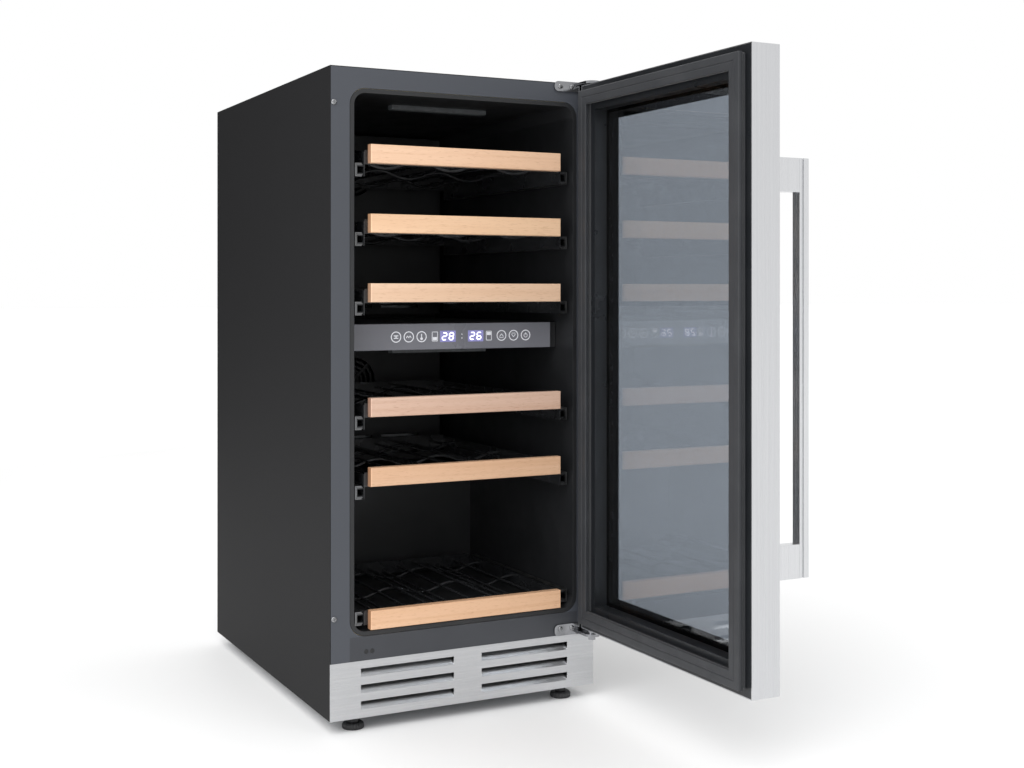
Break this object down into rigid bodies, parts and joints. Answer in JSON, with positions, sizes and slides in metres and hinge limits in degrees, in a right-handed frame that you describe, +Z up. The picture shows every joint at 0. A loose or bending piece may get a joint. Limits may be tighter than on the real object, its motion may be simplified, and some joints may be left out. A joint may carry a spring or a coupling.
{
  "type": "wine cooler",
  "caption": "Built-in undercounter wine cooler with a glass door, sliding wood-fronted wire shelves and two cooled zones.",
  "frame": {"origin": "on the floor, under the centre of the cabinet's footprint", "axes": "+X to the viewer's right facing the cabinet, +Y from the front to the rear, +Z up; the door hinges on the +X side and swings towards -Y"},
  "size_m": [0.452, 0.91, 0.8395],
  "materials": {
    "cabinet_paint": "matte",
    "galvanised_sheet": "satin",
    "stainless": "satin",
    "liner_black": "satin",
    "grey_fascia": "satin",
    "door_plastic": "satin",
    "rigid_foam": "matte",
    "seal_rubber": "matte",
    "low_e_glass": "gloss",
    "spacer_metal": "satin",
    "beech": "satin",
    "coated_wire": "satin",
    "slide_zinc": "satin",
    "hinge_chrome": "polished",
    "screw_steel": "satin",
    "display_glass": "gloss",
    "lamp_cover": "gloss",
    "fan_plastic": "satin",
    "coil_aluminium": "satin",
    "compressor_paint": "gloss",
    "copper_pipe": "satin",
    "inlet_plastic": "matte",
    "foot_plastic": "matte"
  },
  "bodies": {
    "cabinet": {"side_panel_left": "cabinet_paint", "side_panel_right": "cabinet_paint", "top_panel": "cabinet_paint", "front_frame": "cabinet_paint", "rear_panel": "galvanised_sheet", "rear_grille": "galvanised_sheet", "base_pan": "galvanised_sheet", "machine_cover": "galvanised_sheet", "kick_plate": "stainless", "inner_liner": "liner_black", "zone_divider": "liner_black", "air_duct_covers": "liner_black", "lower_fascia": "grey_fascia", "control_fascia": "grey_fascia", "foam_insulation": "rigid_foam", "compressor_mounts": "seal_rubber", "fixed_slides": "slide_zinc", "hinge_brackets": "hinge_chrome", "hinge_pins": "hinge_chrome", "cabinet_screws": "screw_steel", "display_windows": "display_glass", "led_bars": "lamp_cover", "fan_housings": "fan_plastic", "evaporators": "coil_aluminium", "condenser": "coil_aluminium", "compressor": "compressor_paint", "refrigerant_pipes": "copper_pipe", "power_inlet": "inlet_plastic"},
    "door": {"door_frame": "stainless", "door_inner_frame": "door_plastic", "door_gasket": "seal_rubber", "glass_panes": "low_e_glass", "glass_spacer": "spacer_metal", "handle_bar": "stainless", "handle_posts": "stainless"},
    "shelf_1": {"shelf_front_1": "beech", "shelf_rack_1": "coated_wire"},
    "middle_slides_1": {"slide_middle_1": "slide_zinc"},
    "shelf_2": {"shelf_front_2": "beech", "shelf_rack_2": "coated_wire"},
    "middle_slides_2": {"slide_middle_2": "slide_zinc"},
    "shelf_3": {"shelf_front_3": "beech", "shelf_rack_3": "coated_wire"},
    "middle_slides_3": {"slide_middle_3": "slide_zinc"},
    "shelf_4": {"shelf_front_4": "beech", "shelf_rack_4": "coated_wire"},
    "middle_slides_4": {"slide_middle_4": "slide_zinc"},
    "shelf_5": {"shelf_front_5": "beech", "shelf_rack_5": "coated_wire"},
    "middle_slides_5": {"slide_middle_5": "slide_zinc"},
    "shelf_6": {"shelf_front_6": "beech", "shelf_rack_6": "coated_wire"},
    "middle_slides_6": {"slide_middle_6": "slide_zinc"},
    "circulation_fan_upper_rotor": {"circulation_fan_upper": "fan_plastic"},
    "circulation_fan_lower_rotor": {"circulation_fan_lower": "fan_plastic"},
    "condenser_fan_rotor": {"condenser_fan": "fan_plastic"},
    "levelling_foot_front_left": {"foot_front_left": "foot_plastic"},
    "levelling_foot_front_right": {"foot_front_right": "foot_plastic"},
    "levelling_foot_rear_left": {"foot_rear_left": "foot_plastic"},
    "levelling_foot_rear_right": {"foot_rear_right": "foot_plastic"}
  },
  "joints": [
    {"name": "door_hinge", "type": "hinge", "parent": "cabinet", "child": "door", "pos_m": [0.176, -0.281, 0.45], "axis": [0, 0, 1], "range_deg": [-90, 12]},
    {"name": "shelf_1_slide", "type": "slide", "parent": "cabinet", "child": "shelf_1", "axis": [0, -1, 0], "range_m": [0, 0.3]},
    {"name": "middle_slides_1_slide", "type": "slide", "parent": "cabinet", "child": "middle_slides_1", "axis": [0, -1, 0], "range_m": [0, 0.15]},
    {"name": "shelf_2_slide", "type": "slide", "parent": "cabinet", "child": "shelf_2", "axis": [0, -1, 0], "range_m": [0, 0.3]},
    {"name": "middle_slides_2_slide", "type": "slide", "parent": "cabinet", "child": "middle_slides_2", "axis": [0, -1, 0], "range_m": [0, 0.15]},
    {"name": "shelf_3_slide", "type": "slide", "parent": "cabinet", "child": "shelf_3", "axis": [0, -1, 0], "range_m": [0, 0.3]},
    {"name": "middle_slides_3_slide", "type": "slide", "parent": "cabinet", "child": "middle_slides_3", "axis": [0, -1, 0], "range_m": [0, 0.15]},
    {"name": "shelf_4_slide", "type": "slide", "parent": "cabinet", "child": "shelf_4", "axis": [0, -1, 0], "range_m": [0, 0.3]},
    {"name": "middle_slides_4_slide", "type": "slide", "parent": "cabinet", "child": "middle_slides_4", "axis": [0, -1, 0], "range_m": [0, 0.15]},
    {"name": "shelf_5_slide", "type": "slide", "parent": "cabinet", "child": "shelf_5", "axis": [0, -1, 0], "range_m": [0, 0.3]},
    {"name": "middle_slides_5_slide", "type": "slide", "parent": "cabinet", "child": "middle_slides_5", "axis": [0, -1, 0], "range_m": [0, 0.15]},
    {"name": "shelf_6_slide", "type": "slide", "parent": "cabinet", "child": "shelf_6", "axis": [0, -1, 0], "range_m": [0, 0.2]},
    {"name": "middle_slides_6_slide", "type": "slide", "parent": "cabinet", "child": "middle_slides_6", "axis": [0, -1, 0], "range_m": [0, 0.1]},
    {"name": "circulation_fan_upper_spin", "type": "hinge", "parent": "cabinet", "child": "circulation_fan_upper_rotor", "pos_m": [0, 0.178, 0.742], "axis": [0, 1, 0], "continuous": true},
    {"name": "circulation_fan_lower_spin", "type": "hinge", "parent": "cabinet", "child": "circulation_fan_lower_rotor", "pos_m": [0, 0.178, 0.4143], "axis": [0, 1, 0], "continuous": true},
    {"name": "condenser_fan_spin", "type": "hinge", "parent": "cabinet", "child": "condenser_fan_rotor", "pos_m": [-0.1175, 0.1615, 0.13], "axis": [1, 0, 0], "continuous": true},
    {"name": "foot_front_left_screw", "type": "slide", "parent": "cabinet", "child": "levelling_foot_front_left", "axis": [0, 0, -1], "range_m": [0, 0.02]},
    {"name": "foot_front_right_screw", "type": "slide", "parent": "cabinet", "child": "levelling_foot_front_right", "axis": [0, 0, -1], "range_m": [0, 0.02]},
    {"name": "foot_rear_left_screw", "type": "slide", "parent": "cabinet", "child": "levelling_foot_rear_left", "axis": [0, 0, -1], "range_m": [0, 0.02]},
    {"name": "foot_rear_right_screw", "type": "slide", "parent": "cabinet", "child": "levelling_foot_rear_right", "axis": [0, 0, -1], "range_m": [0, 0.02]}
  ],
  "couplings": [
    {"joint": "middle_slides_1_slide", "follows": "shelf_1_slide", "ratio": 0.5},
    {"joint": "middle_slides_2_slide", "follows": "shelf_2_slide", "ratio": 0.5},
    {"joint": "middle_slides_3_slide", "follows": "shelf_3_slide", "ratio": 0.5},
    {"joint": "middle_slides_4_slide", "follows": "shelf_4_slide", "ratio": 0.5},
    {"joint": "middle_slides_5_slide", "follows": "shelf_5_slide", "ratio": 0.5},
    {"joint": "middle_slides_6_slide", "follows": "shelf_6_slide", "ratio": 0.5}
  ]
}
